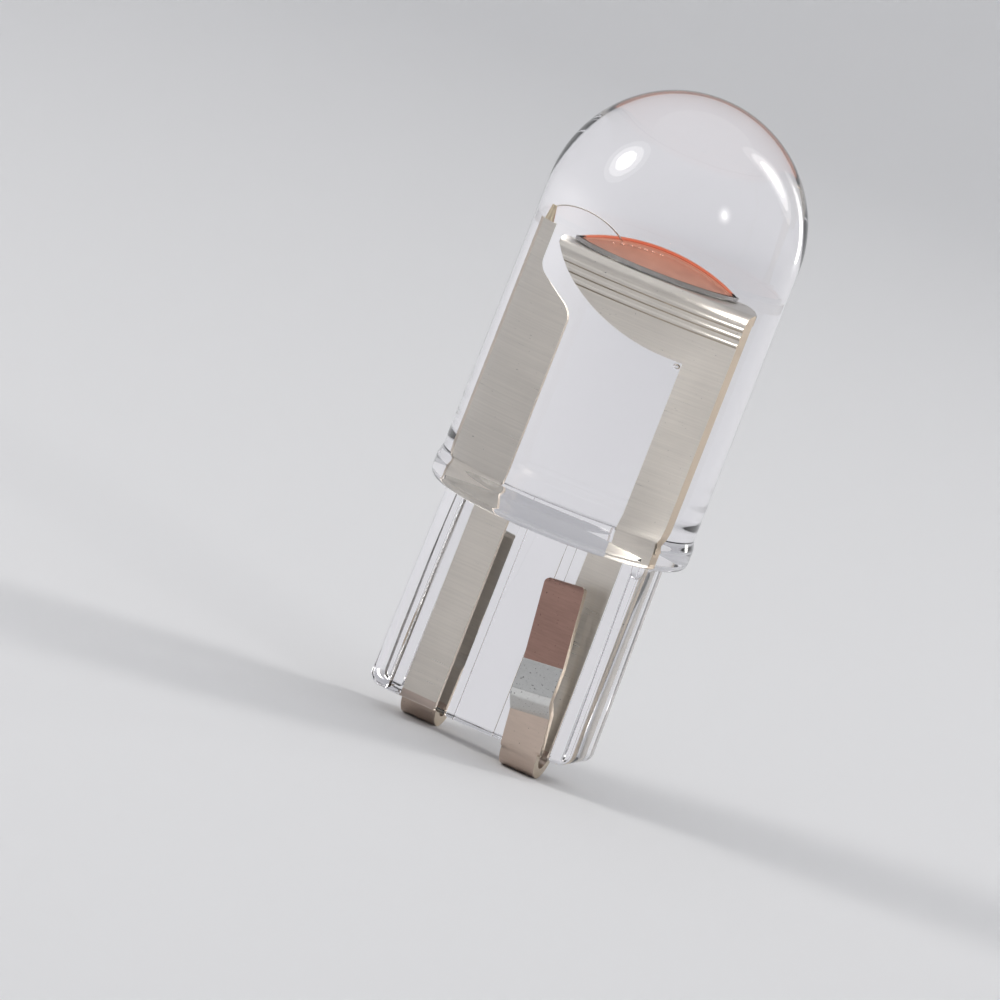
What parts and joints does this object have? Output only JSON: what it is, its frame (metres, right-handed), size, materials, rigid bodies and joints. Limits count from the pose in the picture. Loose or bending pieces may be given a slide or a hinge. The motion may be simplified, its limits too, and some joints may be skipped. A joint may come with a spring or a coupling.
{
  "type": "wedge base led bulb",
  "caption": "Clear plastic wedge-base bulb with a domed barrel, folded metal lead strips cast inside, sprung contact tabs and a round orange light chip.",
  "frame": {"origin": "centre of the rim's underside, where the wedge begins", "axes": "+Z along the bulb's axis towards the dome; -Y towards the contact tab of the chip's own lead; +X towards that lead's leg"},
  "size_m": [0.0104, 0.0104, 0.0262],
  "materials": {
    "clear_plastic": "polished, water-clear with a faint lavender tint",
    "plated_strip": "satin plated strip, warm silver, brushed across",
    "solder": "dull grey solder",
    "joint": "small gilt solder joint",
    "wire": "fine bond wire",
    "board": "dark board",
    "pads": "gilt copper",
    "dies": "polished crystal",
    "phosphor": "matt pink-salmon resin",
    "orange_silicone": "translucent orange silicone"
  },
  "bodies": {
    "root": {"clear_body": "clear_plastic", "chip_lead": "plated_strip", "side_lead": "plated_strip", "solder_bed": "solder", "chip_board": "board", "board_pads": "pads", "led_dies": "dies", "phosphor_dome": "phosphor", "silicone_lens": "orange_silicone", "solder_joint": "joint", "bond_wire": "wire"}
  },
  "joints": []
}
